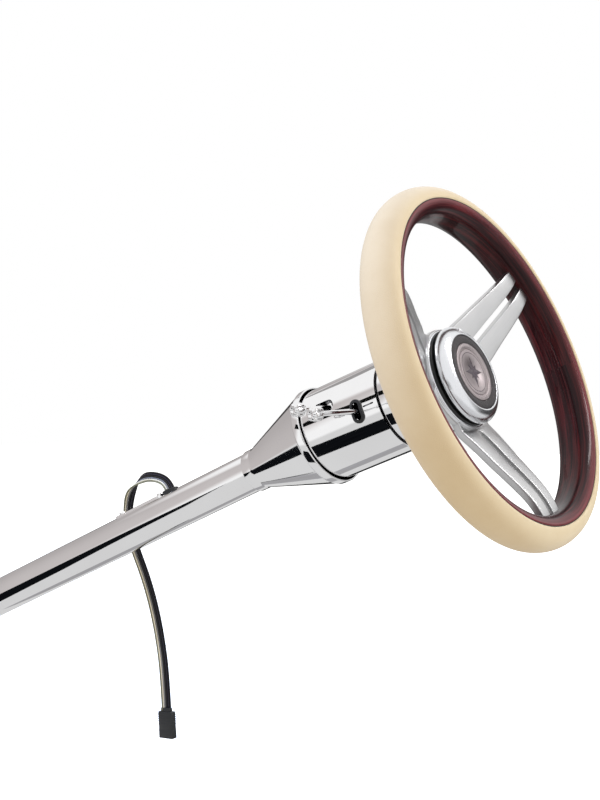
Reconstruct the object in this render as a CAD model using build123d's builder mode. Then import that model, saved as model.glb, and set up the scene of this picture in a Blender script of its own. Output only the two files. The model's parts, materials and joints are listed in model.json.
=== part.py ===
"""Tilting runabout steering column with its three-spoke wood and leather wheel.

Frame: +Z is up, +X points along the boat towards the driver, +Y is the driver's right.
The origin is on the column axis, in the middle of the seat of the dash clamp.
The column rises towards the driver, and the tilting head droops a little from its axis.
Distances "along" are measured towards the driver: from the origin on the column,
and from the tilt pivot on the head.
"""
import math
import os

from build123d import *

os.makedirs("parts", exist_ok=True)

# ---------------------------------------------------------------- driving dimensions, mm, degrees
column_rise = 23.0  # column axis above the horizontal
head_droop = 2.5  # head axis below the column axis, at rest
pivot_along = 165.0  # tilt pivot, along the column

tube_radius = 44.45 / 2
tube_bore = 20.0
tube_low_end = -497.0
clamp_seat_radius = 22.0  # the tube's lower end is turned down for the floor clamp
clamp_seat_length = 70.0
tube_high_end = 100.0

bell_length = 108.0  # from its collar to the pivot
lip_radius = 54.0
lip_bore = 52.4
lip_length = 8.0
lip_front = 1.0  # how far the lip passes the pivot

housing_radius = 50.0
housing_bore = 47.5
housing_rear = -5.0
housing_front = 96.5

shaft_radius = 9.5
spigot_radius = 9.0
spigot_length = 30.0
running_gap = 0.05

wheel_diameter = 380.0
wheel_plane = 200.0  # middle of the rim, along the head
wheel_turn = 7.0  # the rest angle of the wheel, anticlockwise for the driver
rim_across = 33.4  # rim section, from its outside to the hub side
rim_deep = 41.8  # rim section, front to back
rim_centre = (wheel_diameter - rim_across) / 2
rim_seam = 171.0  # radius where leather meets wood
core_radius = 6.0

hub_rear = 156.0
hub_front = 163.0
hub_radius = 54.0
spoke_root = 64.0  # width of a spoke where it leaves the hub
spoke_tip = 36.5  # and where it ends
spoke_slot = 9.2
spoke_depth = 8.0
spoke_foot = 163.0  # radius where the spokes end, inside the wood
spoke_count = 3

bezel_radius = 51.5
bezel_face = 184.5  # front plane of the horn button
face_radius = 39.4
medal_radius = 30.4
horn_travel = 2.5

signal_along = 71.0
signal_pivot_out = 34.0
signal_set = 1.5  # the leaning lever's pivot stands this far ahead of its slot
signal_reach = 66.0  # from the housing wall to the middle of the knob
tilt_along = 33.0
tilt_height = 18.0
tilt_pivot_out = 32.0
tilt_reach = 41.0
lever_lean = 5.5  # degrees that the levers lean back, away from the wheel

harness_along = -66.0
harness_width = 12.0

# ---------------------------------------------------------------- frames of the two axes


def rising(angle):
    """Unit vector in the XZ plane at an angle above +X."""
    return Vector(math.cos(math.radians(angle)), 0, math.sin(math.radians(angle)))


def axis_plane(origin, direction):
    """Plane square to an axis: its x is the driver's right, its y is up, its z is along."""
    return Plane(origin=origin, x_dir=(0, 1, 0), z_dir=direction)


def section_plane(base):
    """Plane that holds the axis of base: its x is along the axis, its y is up."""
    return Plane(origin=base.origin, x_dir=base.z_dir, z_dir=(0, -1, 0))


def turned_about(base, angle):
    """The plane base, turned about its own z."""
    turn = math.radians(angle)
    x_dir = base.x_dir * math.cos(turn) + base.y_dir * math.sin(turn)
    return Plane(origin=base.origin, x_dir=x_dir, z_dir=base.z_dir)


COLUMN = axis_plane((0, 0, 0), rising(column_rise))
HEAD = axis_plane(COLUMN.z_dir * pivot_along, rising(column_rise - head_droop))
COLUMN_AXIS = Axis(COLUMN.origin, COLUMN.z_dir)
HEAD_AXIS = Axis(HEAD.origin, HEAD.z_dir)
COLUMN_SECTION = section_plane(COLUMN)
HEAD_SECTION = section_plane(HEAD)
WHEEL = turned_about(HEAD, wheel_turn)  # turns with the wheel


def turned(section, axis, *corners, mode=Mode.ADD):
    """Turns a closed outline of (along, radius) corners about an axis, in the active part."""
    with BuildSketch(section) as outline:
        with BuildLine():
            Polyline(*corners, close=True)
        make_face()
    revolve(outline.sketch, axis=axis, mode=mode)


def on_column(*corners, mode=Mode.ADD):
    turned(COLUMN_SECTION, COLUMN_AXIS, *corners, mode=mode)


def on_head(*corners, mode=Mode.ADD):
    turned(HEAD_SECTION, HEAD_AXIS, *corners, mode=mode)


def ring(start, end, inner, outer):
    """Corners of a plain ring or sleeve."""
    return (start, inner), (start, outer), (end, outer), (end, inner)


def driver_left(base, along, height=0.0, out=0.0):
    """Plane that looks out to the driver's left: its x is along the axis, its y is up."""
    origin = base.origin + base.z_dir * along + base.y_dir * height - base.x_dir * out
    return Plane(origin=origin, x_dir=base.z_dir, z_dir=-base.x_dir)


def save(builder, label):
    builder.part.label = label
    export_step(builder.part, f"parts/{label}.step")


# ================================================================ column, the fixed body
exit_length = 20.0
exit_width = 15.0
cover_along = -115.0  # middle of the plate behind the harness
cover_length = 77.0
cover_width = 18.0
cover_thick = 2.2
cover_screw_pitch = 64.0
cover_slot_length = 46.0
cover_slot_width = 13.0
screw_shank = 2.0

TUBE_TOP = Plane(origin=(0, 0, 0), x_dir=COLUMN.z_dir, z_dir=COLUMN.y_dir)  # looks down on the tube

with BuildPart() as column_tube:
    clamp_shoulder = tube_low_end + clamp_seat_length
    on_column(*ring(tube_low_end, clamp_shoulder, tube_bore, clamp_seat_radius))
    on_column(*ring(clamp_shoulder, tube_high_end, tube_bore, tube_radius))
    with BuildSketch(TUBE_TOP):
        with Locations((harness_along, 0)):
            SlotOverall(exit_length, exit_width)
        with Locations((cover_along, 0)):
            SlotOverall(cover_slot_length, cover_slot_width)
            with GridLocations(cover_screw_pitch, 1, 2, 1):
                Circle(screw_shank)
    extrude(amount=tube_radius + 5, mode=Mode.SUBTRACT)
save(column_tube, "column_tube")

collar_along = pivot_along - bell_length
collar_length = 12.0
collar_radius = 23.8
lip_rear = pivot_along - lip_length
lip_end = pivot_along + lip_front

with BuildPart() as column_bell:
    on_column(
        (collar_along, tube_radius),
        (collar_along, collar_radius),
        (collar_along + collar_length, collar_radius),
        (lip_rear, lip_radius),
        (lip_end, lip_radius),
        (lip_end, lip_bore),
        (lip_rear, lip_bore),
        (collar_along + collar_length + 3, tube_radius),
    )
    fillet(column_bell.edges().filter_by(GeomType.CIRCLE).sort_by(COLUMN_AXIS)[-2:], 0.6)
save(column_bell, "column_bell")

neck_bore = 13.0
yoke_plate_rear = 121.0
yoke_plate_front = 128.0
yoke_plate_radius = 37.5
arm_inner = 33.0
arm_outer = 39.0
arm_half_height = 8.0
pin_radius = 4.0

with BuildPart() as pivot_yoke:
    on_column(
        (62, neck_bore),
        (62, tube_bore),
        (tube_high_end, tube_bore),
        (tube_high_end, tube_radius),
        (yoke_plate_rear, tube_radius),
        (yoke_plate_rear, yoke_plate_radius),
        (yoke_plate_front, yoke_plate_radius),
        (yoke_plate_front, neck_bore + 6),
        (126, neck_bore + 6),
        (126, neck_bore),
    )
    for side in (-1, 1):
        arm_plane = Plane(origin=COLUMN.origin + Vector(0, side * arm_inner, 0), x_dir=COLUMN.z_dir,
                          z_dir=(0, side, 0))
        with BuildSketch(arm_plane) as arm:
            arm_length = pivot_along - yoke_plate_front + 1
            with Locations((pivot_along - arm_length / 2, 0)):
                Rectangle(arm_length, 2 * arm_half_height)
            with Locations((pivot_along, 0)):
                Circle(arm_half_height)
                Circle(pin_radius, mode=Mode.SUBTRACT)
        extrude(arm.sketch, amount=arm_outer - arm_inner)
save(pivot_yoke, "pivot_yoke")

ear_inner = 25.0
ear_outer = 32.6

with BuildPart() as pivot_pins:
    for side in (-1, 1):
        pin_plane = Plane(origin=HEAD.origin + Vector(0, side * ear_inner, 0), z_dir=(0, side, 0))
        with BuildSketch(pin_plane) as pin:
            Circle(pin_radius)
        extrude(pin.sketch, amount=arm_outer - ear_inner)
save(pivot_pins, "pivot_pins")

with BuildPart() as neck_bush:
    on_column(*ring(108, 126, shaft_radius + running_gap, neck_bore))
save(neck_bush, "neck_bush")

low_bearing_length = 12.0
with BuildPart() as low_bearing:
    on_column(
        (tube_low_end - 3, shaft_radius + running_gap),
        (tube_low_end - 3, tube_bore + 1.2),
        (tube_low_end, tube_bore + 1.2),
        (tube_low_end, tube_bore),
        (tube_low_end + low_bearing_length, tube_bore),
        (tube_low_end + low_bearing_length, shaft_radius + running_gap),
    )
save(low_bearing, "low_bearing")

with BuildPart() as exit_grommet:
    with BuildSketch(TUBE_TOP.offset(tube_bore - 1.5)):
        with Locations((harness_along, 0)):
            SlotOverall(exit_length, exit_width)
    extrude(amount=tube_radius - tube_bore + 1.5 + 3.0)
    with BuildSketch(TUBE_TOP.offset(tube_bore - 2)):
        with Locations((harness_along, 0)):
            Circle(harness_width / 2 + 0.15)
    extrude(amount=10, mode=Mode.SUBTRACT)
    chamfer(exit_grommet.edges().group_by(Axis(COLUMN.origin, COLUMN.y_dir))[-1], 0.4)
save(exit_grommet, "exit_grommet")

with BuildPart() as slot_cover:
    with BuildSketch(TUBE_TOP):
        with Locations((cover_along, 0)):
            RectangleRounded(cover_length, cover_width, 5)
            with GridLocations(cover_screw_pitch, 1, 2, 1):
                Circle(screw_shank, mode=Mode.SUBTRACT)
    extrude(amount=tube_radius + cover_thick)
    on_column(
        *ring(cover_along - cover_length, cover_along + cover_length, tube_radius, tube_radius + cover_thick),
        mode=Mode.INTERSECT,
    )
save(slot_cover, "slot_cover")

screw_head_base = tube_radius + cover_thick
with BuildPart() as cover_screws:
    with BuildSketch(TUBE_TOP.offset(tube_bore - 1)):
        with Locations((cover_along, 0)):
            with GridLocations(cover_screw_pitch, 1, 2, 1):
                Circle(screw_shank)
    extrude(amount=screw_head_base - tube_bore + 1)
    with BuildSketch(TUBE_TOP.offset(screw_head_base)):
        with Locations((cover_along, 0)):
            with GridLocations(cover_screw_pitch, 1, 2, 1):
                Circle(3.6)
                RegularPolygon(1.6, 6, mode=Mode.SUBTRACT)
    extrude(amount=2.0)
save(cover_screws, "cover_screws")

# ================================================================ lower shaft, in the column
cup_radius = 16.0
cup_mouth = 4.0
ball_radius = 11.0
ball_gap = 0.1
slot_half_width = 3.5
slot_bottom = -8.0
shaft_low_end = -560.0
spigot_flat = 15.9 / 2

with BuildPart() as lower_shaft:
    on_column(
        (shaft_low_end, 0),
        (shaft_low_end, spigot_radius - 1),
        (shaft_low_end + 1, spigot_radius),
        (shaft_low_end + 1 + spigot_length, spigot_radius),
        (shaft_low_end + 1 + spigot_length, shaft_radius),
        (pivot_along - 30, shaft_radius),
        (pivot_along - 20, cup_radius),
        (pivot_along + cup_mouth, cup_radius),
        (pivot_along + cup_mouth, ball_radius + ball_gap),
        (pivot_along, ball_radius + ball_gap),
        (pivot_along, 0),
    )
    with Locations(HEAD.origin):
        Sphere(ball_radius + ball_gap, mode=Mode.SUBTRACT)
    slot_plane = Plane(origin=HEAD.origin, x_dir=COLUMN.z_dir, z_dir=turned_about(COLUMN, wheel_turn).y_dir)
    with BuildSketch(slot_plane) as drive_slot:
        with Locations(((slot_bottom + cup_mouth + 1) / 2, 0)):
            Rectangle(cup_mouth + 1 - slot_bottom, 2 * cup_radius + 2)
    extrude(drive_slot.sketch, amount=slot_half_width, both=True, mode=Mode.SUBTRACT)
    with BuildSketch(COLUMN.offset(shaft_low_end - 1)) as flat:
        with Locations((0, spigot_flat + 5)):
            Rectangle(4 * shaft_radius, 10)
    extrude(flat.sketch, amount=spigot_length - 4, mode=Mode.SUBTRACT)
save(lower_shaft, "lower_shaft")

# ================================================================ tilting head
slot_height = 19.0
slot_across = 8.0
tilt_slot_rear = 22.0
tilt_slot_front = 44.0
tilt_slot_height = 14.0
slit_along = 85.5
slit_length = 13.0
slit_width = 1.6
LEFT_OF_SIGNAL = driver_left(HEAD, signal_along)
LEFT_OF_HEAD = driver_left(HEAD, 0)

with BuildPart() as head_housing:
    on_head(*ring(housing_rear, housing_front, housing_bore, housing_radius))
    with BuildSketch(LEFT_OF_HEAD) as openings:
        with Locations((signal_along, 0)):
            SlotOverall(slot_height, slot_across, rotation=90)
        with Locations((slit_along, 2)):
            SlotOverall(slit_length, slit_width)
        with Locations(((tilt_slot_rear + tilt_slot_front - tilt_slot_height / 2) / 2, tilt_height)):
            Rectangle(tilt_slot_front - tilt_slot_rear - tilt_slot_height / 2, tilt_slot_height)
        with Locations((tilt_slot_front - tilt_slot_height / 2, tilt_height)):
            Circle(tilt_slot_height / 2)
    extrude(openings.sketch, amount=housing_radius + 5, mode=Mode.SUBTRACT)
    fillet(head_housing.edges().filter_by(GeomType.CIRCLE).sort_by(HEAD_AXIS)[-1:], 0.8)
save(head_housing, "head_housing")

with BuildPart() as signal_escutcheon:
    with BuildSketch(LEFT_OF_SIGNAL) as frame:
        SlotOverall(slot_height + 6, slot_across + 5, rotation=90)
        SlotOverall(slot_height, slot_across, rotation=90, mode=Mode.SUBTRACT)
    extrude(frame.sketch, amount=housing_radius + 5)
    on_head(*ring(signal_along - 20, signal_along + 20, housing_radius, housing_radius + 1.8), mode=Mode.INTERSECT)
save(signal_escutcheon, "signal_escutcheon")

bearing_rear = 75.0
bearing_front = 87.0
bearing_outer = 21.0
bush_seat = 13.0
lug_gap = 4.7  # half the room between the two lugs of the tilt lever

with BuildPart() as tilt_carrier:
    on_head(
        (20, bush_seat),
        (20, 32.6),
        (27, 32.6),
        (27, 24),
        (80, 24),
        (80, housing_bore),
        (bearing_front, housing_bore),
        (bearing_front, bearing_outer),
        (bearing_rear, bearing_outer),
        (bearing_rear, 16),
        (38, 16),
        (38, bush_seat),
    )
    for side in (-1, 1):
        ear_plane = Plane(origin=HEAD.origin + Vector(0, side * ear_inner, 0), x_dir=HEAD.z_dir, z_dir=(0, side, 0))
        with BuildSketch(ear_plane) as ear:
            with Locations((11, 0)):
                Rectangle(22, 2 * arm_half_height)
            Circle(arm_half_height)
            Circle(pin_radius + running_gap, mode=Mode.SUBTRACT)
        extrude(ear.sketch, amount=ear_outer - ear_inner)
    for height in (tilt_height - lug_gap - 3, tilt_height + lug_gap):
        lug_plane = Plane(origin=HEAD.origin + HEAD.y_dir * height, x_dir=-HEAD.x_dir, z_dir=HEAD.y_dir)
        with BuildSketch(lug_plane) as lug:
            with Locations(((tilt_pivot_out + 12) / 2, tilt_along - 0.5)):
                Rectangle(tilt_pivot_out - 12, 12)
            with Locations((tilt_pivot_out, tilt_along)):
                Circle(5.5)
                Circle(2.5, mode=Mode.SUBTRACT)
        extrude(lug.sketch, amount=3)
    on_head(*ring(38.5, 74, 0, 16), mode=Mode.SUBTRACT)
    on_head(*ring(19, 38.5, 0, bush_seat), mode=Mode.SUBTRACT)
save(tilt_carrier, "tilt_carrier")

with BuildPart() as rear_bush:
    on_head(*ring(20, 38, shaft_radius + running_gap, bush_seat))
save(rear_bush, "rear_bush")

race_middle = (bearing_rear + bearing_front) / 2
pitch_radius = 15.2
ball_count = 8
bearing_ball = 2.8
groove_radius = bearing_ball + 0.08

with BuildPart() as bearing_outer_race:
    on_head(*ring(bearing_rear, bearing_front, pitch_radius + 1.4, bearing_outer))
    with BuildSketch(HEAD_SECTION) as groove:
        with Locations((race_middle, pitch_radius)):
            Circle(groove_radius)
    revolve(groove.sketch, axis=HEAD_AXIS, mode=Mode.SUBTRACT)
save(bearing_outer_race, "bearing_outer_race")

with BuildPart() as bearing_inner_race:
    on_head(*ring(bearing_rear, bearing_front, shaft_radius, pitch_radius - 1.4))
    with BuildSketch(HEAD_SECTION) as groove:
        with Locations((race_middle, pitch_radius)):
            Circle(groove_radius)
    revolve(groove.sketch, axis=HEAD_AXIS, mode=Mode.SUBTRACT)
save(bearing_inner_race, "bearing_inner_race")

with BuildPart() as bearing_balls:
    with Locations(HEAD.offset(race_middle)):
        with PolarLocations(pitch_radius, ball_count):
            Sphere(bearing_ball)
save(bearing_balls, "bearing_balls")

switch_rear = 52.0
switch_front = 66.0
switch_inner = 24.0
switch_outer = 46.5

with BuildPart() as signal_switch:
    on_head(*ring(switch_rear, switch_front - 6, switch_inner, switch_outer))
    with BuildSketch(HEAD.offset(switch_front - 6)) as tower:
        with Locations((-signal_pivot_out, 0)):
            Circle(6)
    extrude(tower.sketch, amount=6)
    with BuildSketch(HEAD.offset(switch_rear - 1)) as pivot_hole:
        with Locations((-signal_pivot_out, 0)):
            Circle(2.5)
    extrude(pivot_hole.sketch, amount=switch_front - switch_rear + 2, mode=Mode.SUBTRACT)
save(signal_switch, "signal_switch")

with BuildPart() as signal_pin:
    with BuildSketch(HEAD.offset(switch_rear)) as shank:
        with Locations((-signal_pivot_out, 0)):
            Circle(2.5)
    extrude(shank.sketch, amount=79.5 - switch_rear)
save(signal_pin, "signal_pin")

with BuildPart() as tilt_lever_pin:
    pin_plane = Plane(origin=HEAD.origin + HEAD.y_dir * (tilt_height - lug_gap - 3), x_dir=-HEAD.x_dir,
                      z_dir=HEAD.y_dir)
    with BuildSketch(pin_plane) as shank:
        with Locations((tilt_pivot_out, tilt_along)):
            Circle(2.5)
    extrude(shank.sketch, amount=2 * lug_gap + 6)
save(tilt_lever_pin, "tilt_lever_pin")

# ================================================================ levers
knob_radius = 7.5
knob_length = 15.0
knob_flutes = 6
flute_radius = 2.6
tenon_length = 5.0
fit_gap = 0.02


def lever_axis(along, height, pivot_out):
    """Plane at a lever's pivot that looks out along the lever, which leans back a little."""
    start = HEAD.origin + HEAD.z_dir * along + HEAD.y_dir * height - HEAD.x_dir * pivot_out
    lean = math.radians(lever_lean)
    outward = -HEAD.x_dir * math.cos(lean) - HEAD.z_dir * math.sin(lean)
    return Plane(origin=start, x_dir=HEAD.y_dir, z_dir=outward)


def lever_rod(base, length, root_radius, tip_radius):
    """Tapered rod with a straight tenon inside its knob, in the active part."""
    with BuildSketch(base.offset(5)) as root:
        Circle(root_radius)
    with BuildSketch(base.offset(length - knob_length / 2)) as tip:
        Circle(tip_radius)
    loft([root.sketch.face(), tip.sketch.face()])
    extrude(tip.sketch, amount=tenon_length)


def lever_knob(base, length, bore):
    """Fluted billet knob with a domed end, bored for its rod."""
    with BuildPart() as knob:
        rear = length - knob_length / 2
        with BuildSketch(base.offset(rear)) as round_bar:
            Circle(knob_radius)
        extrude(round_bar.sketch, amount=knob_length)
        fillet(knob.edges().filter_by(GeomType.CIRCLE), 1.8)
        with BuildSketch(base.offset(rear + 3)) as flutes:
            with PolarLocations(knob_radius + 1.0, knob_flutes):
                Circle(flute_radius)
        extrude(flutes.sketch, amount=knob_length, mode=Mode.SUBTRACT)
        with BuildSketch(base.offset(rear - 1)) as socket:
            Circle(bore + fit_gap)
        extrude(socket.sketch, amount=tenon_length + 1, mode=Mode.SUBTRACT)
    return knob


SIGNAL_LEVER = lever_axis(signal_along + signal_set, 0, signal_pivot_out)
TILT_LEVER = lever_axis(tilt_along, tilt_height, tilt_pivot_out)
signal_length = housing_radius - signal_pivot_out + signal_reach
tilt_length = housing_radius * math.cos(math.asin(tilt_height / housing_radius)) - tilt_pivot_out + tilt_reach
signal_tip = 2.6
tilt_tip = 2.3

with BuildPart() as signal_rod:
    with BuildSketch(HEAD.offset(switch_front + 0.4)) as eye:
        with Locations((-signal_pivot_out, 0)):
            Circle(6)
    extrude(eye.sketch, amount=9.2)
    lever_rod(SIGNAL_LEVER, signal_length, 3.2, signal_tip)
    with BuildSketch(HEAD.offset(switch_front)) as eye_hole:
        with Locations((-signal_pivot_out, 0)):
            Circle(2.5 + running_gap)
    extrude(eye_hole.sketch, amount=12, mode=Mode.SUBTRACT)
save(signal_rod, "signal_rod")

signal_knob = lever_knob(SIGNAL_LEVER, signal_length, signal_tip)
save(signal_knob, "signal_knob")

with BuildPart() as tilt_rod:
    eye_plane = Plane(origin=HEAD.origin + HEAD.y_dir * (tilt_height - lug_gap + 0.4), x_dir=-HEAD.x_dir,
                      z_dir=HEAD.y_dir)
    with BuildSketch(eye_plane) as eye:
        with Locations((tilt_pivot_out, tilt_along)):
            Circle(5.2)
    extrude(eye.sketch, amount=2 * lug_gap - 0.8)
    lever_rod(TILT_LEVER, tilt_length, 3.0, tilt_tip)
    with BuildSketch(eye_plane.offset(-1)) as eye_hole:
        with Locations((tilt_pivot_out, tilt_along)):
            Circle(2.5 + running_gap)
    extrude(eye_hole.sketch, amount=2 * lug_gap + 2, mode=Mode.SUBTRACT)
save(tilt_rod, "tilt_rod")

tilt_knob = lever_knob(TILT_LEVER, tilt_length, tilt_tip)
save(tilt_knob, "tilt_knob")

# ================================================================ steering wheel and its shaft
adapter_rear = 98.0
adapter_radius = 47.6
boss_rear = 124.0
screw_circle = 26.0
screw_count = 6
hub_screw_radius = 2.5
screw_end = 148.0
nut_seat = 152.0
thread_radius = 7.0

with BuildPart() as upper_shaft:
    on_head(
        (0, 0),
        (0, 7.2),
        (16, 7.2),
        (18, shaft_radius),
        (nut_seat - 4, shaft_radius),
        (nut_seat - 4, thread_radius),
        (hub_front + 2, thread_radius),
        (hub_front + 2, 0),
    )
    with Locations(HEAD.origin):
        Sphere(ball_radius)
    with BuildSketch(Plane(origin=WHEEL.origin - WHEEL.x_dir * 12, z_dir=WHEEL.x_dir)) as pin_hole:
        Circle(3)
    extrude(pin_hole.sketch, amount=24, mode=Mode.SUBTRACT)
save(upper_shaft, "upper_shaft")

with BuildPart() as drive_pin:
    with BuildSketch(Plane(origin=WHEEL.origin - WHEEL.x_dir * 14.5, z_dir=WHEEL.x_dir)) as pin:
        Circle(3)
    extrude(pin.sketch, amount=29)
save(drive_pin, "drive_pin")

with BuildPart() as hub_adapter:
    on_head(
        (adapter_rear, adapter_radius - 3),
        (adapter_rear, adapter_radius),
        (142, adapter_radius),
        (hub_rear, 42),
        (hub_rear, thread_radius),
        (nut_seat - 4, thread_radius),
        (nut_seat - 4, shaft_radius),
        (boss_rear, shaft_radius),
        (boss_rear, 17),
        (146, 17),
        (146, adapter_radius - 5),
        (136, adapter_radius - 3),
    )
    with BuildSketch(WHEEL.offset(screw_end)) as tapped_holes:
        with PolarLocations(screw_circle, screw_count):
            Circle(hub_screw_radius + fit_gap)
    extrude(tapped_holes.sketch, amount=hub_rear - screw_end + 1, mode=Mode.SUBTRACT)
save(hub_adapter, "hub_adapter")

# front face of a spoke: (radius, along) points of a smooth line out of the flat hub
spoke_face = [
    (51.5, hub_front),
    (66, 170.3),
    (78, 175.8),
    (90, 181.1),
    (105, 188.3),
    (120, 195.2),
    (135, 201.2),
    (150, 204.6),
    (spoke_foot, 205.2),
]
slot_inner_end = 56.0
root_radius = 40.0


def spoke_planes():
    """Planes square to the wheel's axis: the y of each points out along one spoke."""
    return [turned_about(WHEEL, 60 + 360 / spoke_count * turn) for turn in range(spoke_count)]


def spoke_side(spoke_plane):
    """Side view of a spoke: its x is the radius, its y is along the axis."""
    side_view = Plane(origin=spoke_plane.origin, x_dir=spoke_plane.y_dir, z_dir=spoke_plane.x_dir)
    with BuildSketch(side_view) as profile:
        with BuildLine():
            front = Spline(spoke_face, tangents=[(1, 0.5), (1, 0)])
            back = Spline([(r, a - spoke_depth) for r, a in spoke_face], tangents=[(1, 0.5), (1, 0)])
            Line(front @ 1, back @ 1)
            Line(front @ 0, (root_radius, hub_front))
            Line((root_radius, hub_front), (root_radius, hub_front - spoke_depth + 1))
            Line((root_radius, hub_front - spoke_depth + 1), back @ 0)
        make_face()
    return profile.sketch


def spoke_bars(spoke_plane):
    """One spoke: two bars side by side that narrow towards the rim."""
    with BuildPart() as bars:
        extrude(spoke_side(spoke_plane), amount=spoke_root / 2, both=True)
        with BuildSketch(spoke_plane.offset(hub_rear - 10)) as plan:
            with BuildLine():
                Polyline(
                    (-spoke_root / 2, root_radius),
                    (spoke_root / 2, root_radius),
                    (spoke_tip / 2, spoke_foot),
                    (-spoke_tip / 2, spoke_foot),
                    close=True,
                )
            make_face()
            with Locations((0, slot_inner_end + spoke_foot / 2)):
                SlotOverall(spoke_foot, spoke_slot, rotation=90, mode=Mode.SUBTRACT)
        extrude(plan.sketch, amount=70, mode=Mode.INTERSECT)
    return bars.part


with BuildPart() as spoke_frame:
    for spoke_plane in spoke_planes():
        add(spoke_bars(spoke_plane))
    on_head(*ring(hub_rear, hub_front, 0, hub_radius))
    on_head(*ring(hub_rear - 12, hub_rear, 0, spoke_foot), mode=Mode.SUBTRACT)
    with BuildSketch(WHEEL.offset(hub_rear - 1)) as holes:
        Circle(11)
        with PolarLocations(screw_circle, screw_count):
            Circle(hub_screw_radius + 0.2)
    extrude(holes.sketch, amount=hub_front - hub_rear + 2, mode=Mode.SUBTRACT)
save(spoke_frame, "spoke_frame")

with BuildPart() as wheel_nut:
    with BuildSketch(HEAD.offset(hub_rear)) as hexagon:
        RegularPolygon(10.5, 6)
        Circle(thread_radius, mode=Mode.SUBTRACT)
    extrude(hexagon.sketch, amount=8)
save(wheel_nut, "wheel_nut")

with BuildPart() as hub_screws:
    with BuildSketch(WHEEL.offset(screw_end)) as shanks:
        with PolarLocations(screw_circle, screw_count):
            Circle(hub_screw_radius)
    extrude(shanks.sketch, amount=hub_front - screw_end)
    with BuildSketch(WHEEL.offset(hub_front)) as heads:
        with PolarLocations(screw_circle, screw_count):
            Circle(4.6)
            RegularPolygon(1.8, 6, mode=Mode.SUBTRACT)
    extrude(heads.sketch, amount=2.8)
save(hub_screws, "hub_screws")


def rim_section(keep):
    """Half of the oval rim section, leather side (keep=1) or wood side (keep=-1), turned about the axis."""
    with BuildSketch(HEAD_SECTION) as oval:
        with Locations((wheel_plane, rim_centre)):
            Ellipse(rim_deep / 2, rim_across / 2)
            Circle(core_radius, mode=Mode.SUBTRACT)
        with Locations((wheel_plane, rim_seam + keep * rim_across)):
            Rectangle(2 * rim_deep, 2 * rim_across, mode=Mode.INTERSECT)
    revolve(oval.sketch, axis=HEAD_AXIS)


with BuildPart() as rim_core:
    with BuildSketch(HEAD_SECTION) as bar:
        with Locations((wheel_plane, rim_centre)):
            Circle(core_radius)
    revolve(bar.sketch, axis=HEAD_AXIS)
save(rim_core, "rim_core")

with BuildPart() as rim_leather:
    rim_section(1)
save(rim_leather, "rim_leather")

with BuildPart() as rim_wood:
    rim_section(-1)
    add(spoke_frame.part, mode=Mode.SUBTRACT)
save(rim_wood, "rim_wood")

horn_seat = 166.5
with BuildPart() as horn_cup:
    on_head(
        (hub_front, 33),
        (hub_front, 50.5),
        (168.5, 50.5),
        (168.5, 47.5),
        (horn_seat, 47.5),
        (horn_seat, 33),
    )
save(horn_cup, "horn_cup")

# ================================================================ horn button
bezel_rear = 173.2

with BuildPart() as horn_bezel:
    with BuildSketch(HEAD_SECTION) as dome:
        with BuildLine():
            Line((bezel_rear - 1.5, face_radius), (bezel_rear - 1.5, bezel_radius - 2.5))
            ThreePointArc(
                (bezel_rear - 1.5, bezel_radius - 2.5),
                (bezel_rear + 0.5, bezel_radius),
                (bezel_rear + 3.5, bezel_radius - 1.2),
            )
            ThreePointArc(
                (bezel_rear + 3.5, bezel_radius - 1.2),
                (bezel_face - 2.6, 46.4),
                (bezel_face, face_radius + 1.0),
            )
            Line((bezel_face, face_radius + 1.0), (bezel_face, face_radius))
            Line((bezel_face, face_radius), (bezel_rear - 1.5, face_radius))
        make_face()
    revolve(dome.sketch, axis=HEAD_AXIS)
save(horn_bezel, "horn_bezel")

with BuildPart() as horn_ring:
    on_head(*ring(bezel_face - 4.5, bezel_face - 0.8, medal_radius, face_radius))
save(horn_ring, "horn_ring")

with BuildPart() as horn_medal:
    on_head(
        (bezel_face - 8.5, 0),
        (bezel_face - 8.5, face_radius),
        (bezel_face - 4.5, face_radius),
        (bezel_face - 4.5, medal_radius),
        (bezel_face - 0.4, medal_radius),
        (bezel_face - 0.4, medal_radius - 3.4),
        (bezel_face - 1.4, medal_radius - 4.4),
        (bezel_face - 1.4, 0),
    )
save(horn_medal, "horn_medal")

with BuildPart() as horn_emblem:
    with BuildSketch(HEAD.offset(bezel_face - 1.4)) as star:
        for turn in range(4):
            with BuildLine():
                reach = 19.0 if turn % 2 == 0 else 13.0
                Polyline((0, reach), (3.6, 3.6), (0, 0), (-3.6, 3.6), close=True)
            make_face()
    with BuildSketch(HEAD.offset(bezel_face - 1.4)) as compass:
        with PolarLocations(0, 4):
            add(star.sketch_local)
    extrude(compass.sketch, amount=0.7)
save(horn_emblem, "horn_emblem")

spring_radius = 36.0
spring_wire = 1.0

spring_rear = horn_seat + spring_wire
spring_height = bezel_face - 8.5 - spring_wire - spring_rear
with BuildLine() as coil:
    Helix(
        pitch=spring_height / 2.5,
        height=spring_height,
        radius=spring_radius,
        center=HEAD.origin + HEAD.z_dir * spring_rear,
        direction=HEAD.z_dir,
    )

with BuildPart() as horn_spring:
    with BuildSketch(Plane(origin=coil.line @ 0, z_dir=coil.line % 0)):
        Circle(spring_wire)
    sweep(path=coil.line, is_frenet=True)
save(horn_spring, "horn_spring")

# ================================================================ wiring harness
plug_length = 34.0
plug_width = 22.0
plug_depth = 9.0
harness_route = [
    (-68.6, 0.0, -7.4),
    (-73.5, 0.0, 4.1),
    (-92.0, 3.0, 11.0),
    (-120.0, 8.0, 10.0),
    (-143.0, 14.0, -5.0),
    (-156.0, 21.0, -28.0),
    (-160.0, 28.0, -56.0),
    (-155.0, 35.0, -83.0),
    (-146.0, 42.0, -114.0),
    (-139.0, 49.0, -149.0),
    (-133.0, 54.0, -189.0),
    (-129.0, 58.0, -233.0),
    (-127.0, 59.0, -277.0),
]


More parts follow.
